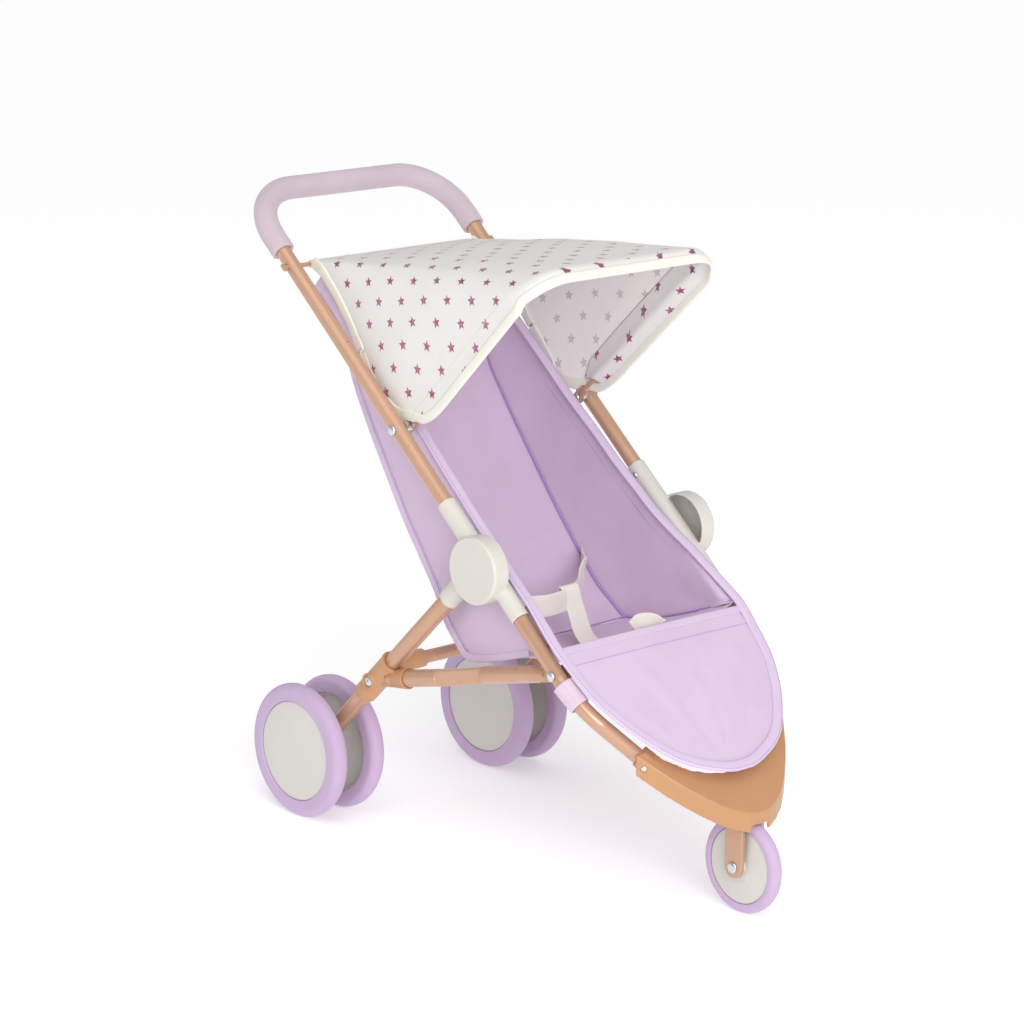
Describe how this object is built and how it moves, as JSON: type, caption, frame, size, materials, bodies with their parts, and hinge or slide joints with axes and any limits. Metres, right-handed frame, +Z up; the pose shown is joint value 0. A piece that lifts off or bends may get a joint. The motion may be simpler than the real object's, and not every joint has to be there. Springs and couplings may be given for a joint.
{
  "type": "doll stroller",
  "caption": "Three-wheeled doll stroller with tube frame, foam-covered handle, sling seat with foot pouch, harness and a folding canopy.",
  "frame": {"origin": "middle of the bounding box in X and Y, at floor level", "axes": "+Z up, the stroller faces -Y, +X is its own left side"},
  "size_m": [0.291, 0.6001, 0.5738],
  "materials": {
    "painted_tube": "satin rose gold",
    "moulded_plastic": "smooth semi-gloss tan",
    "hub_plastic": "smooth satin off-white",
    "wheel_plastic": "fine matt off-white",
    "tyre": "matt lilac",
    "grip_foam": "matt greyish mauve foam",
    "canopy_fabric": "off-white cloth with small rose foil stars",
    "seat_fabric": "lilac woven cloth",
    "webbing": "cream woven webbing",
    "bright_hardware": "bright plated"
  },
  "bodies": {
    "frame": {"handle_tube": "painted_tube", "handle_grip": "grip_foam", "hub_left": "hub_plastic", "hub_right": "hub_plastic", "hub_screws_left": "bright_hardware", "hub_screws_right": "bright_hardware", "front_tube_left": "painted_tube", "front_tube_right": "painted_tube", "rear_leg_left": "painted_tube", "rear_leg_right": "painted_tube", "leg_bracket_left": "moulded_plastic", "leg_bracket_right": "moulded_plastic", "bracket_bolt_left": "bright_hardware", "bracket_bolt_right": "bright_hardware", "rear_cross_bar": "painted_tube", "brace_left": "painted_tube", "brace_right": "painted_tube", "brace_bolt_left": "bright_hardware", "brace_bolt_right": "bright_hardware", "nose_cover": "moulded_plastic", "nose_screws": "bright_hardware", "front_fork": "moulded_plastic", "front_axle": "bright_hardware", "rear_axle_left": "bright_hardware", "rear_axle_right": "bright_hardware", "canopy_rear_rod": "painted_tube", "bow_bolt_left": "bright_hardware", "bow_bolt_right": "bright_hardware", "bow_spacer_left": "bright_hardware", "bow_spacer_right": "bright_hardware", "canopy_top": "canopy_fabric", "canopy_wing_left": "canopy_fabric", "canopy_wing_right": "canopy_fabric", "seat_back": "seat_fabric", "seat_side_left": "seat_fabric", "seat_side_right": "seat_fabric", "seat_bottom": "seat_fabric", "foot_pouch": "seat_fabric", "front_panel": "seat_fabric", "seat_binding": "seat_fabric", "tube_strap_left": "seat_fabric", "tube_strap_right": "seat_fabric", "waist_belt_left": "webbing", "waist_belt_right": "webbing", "crotch_strap": "webbing"},
    "canopy_hoop": {"canopy_bow": "painted_tube"},
    "front_wheel": {"front_rim": "wheel_plastic", "front_tyre": "tyre"},
    "rear_wheel_left_outer": {"rear_rim_left_outer": "wheel_plastic", "rear_tyre_left_outer": "tyre"},
    "rear_wheel_left_inner": {"rear_rim_left_inner": "wheel_plastic", "rear_tyre_left_inner": "tyre"},
    "rear_wheel_right_inner": {"rear_rim_right_inner": "wheel_plastic", "rear_tyre_right_inner": "tyre"},
    "rear_wheel_right_outer": {"rear_rim_right_outer": "wheel_plastic", "rear_tyre_right_outer": "tyre"}
  },
  "joints": [
    {"name": "canopy_fold", "type": "hinge", "parent": "frame", "child": "canopy_hoop", "pos_m": [0, 0.07157, 0.38219], "axis": [-1, 0, 0], "range_deg": [0, 60], "deforming": ["canopy_top", "canopy_wing_left", "canopy_wing_right"]},
    {"name": "front_wheel_spin", "type": "hinge", "parent": "frame", "child": "front_wheel", "pos_m": [0, -0.25713, 0.0429], "axis": [1, 0, 0], "continuous": true},
    {"name": "rear_wheel_left_outer_spin", "type": "hinge", "parent": "frame", "child": "rear_wheel_left_outer", "pos_m": [0.1375, 0.17785, 0.0625], "axis": [1, 0, 0], "continuous": true},
    {"name": "rear_wheel_left_inner_spin", "type": "hinge", "parent": "frame", "child": "rear_wheel_left_inner", "pos_m": [0.0935, 0.17785, 0.0625], "axis": [1, 0, 0], "continuous": true},
    {"name": "rear_wheel_right_inner_spin", "type": "hinge", "parent": "frame", "child": "rear_wheel_right_inner", "pos_m": [-0.0935, 0.17785, 0.0625], "axis": [1, 0, 0], "continuous": true},
    {"name": "rear_wheel_right_outer_spin", "type": "hinge", "parent": "frame", "child": "rear_wheel_right_outer", "pos_m": [-0.1375, 0.17785, 0.0625], "axis": [1, 0, 0], "continuous": true}
  ]
}
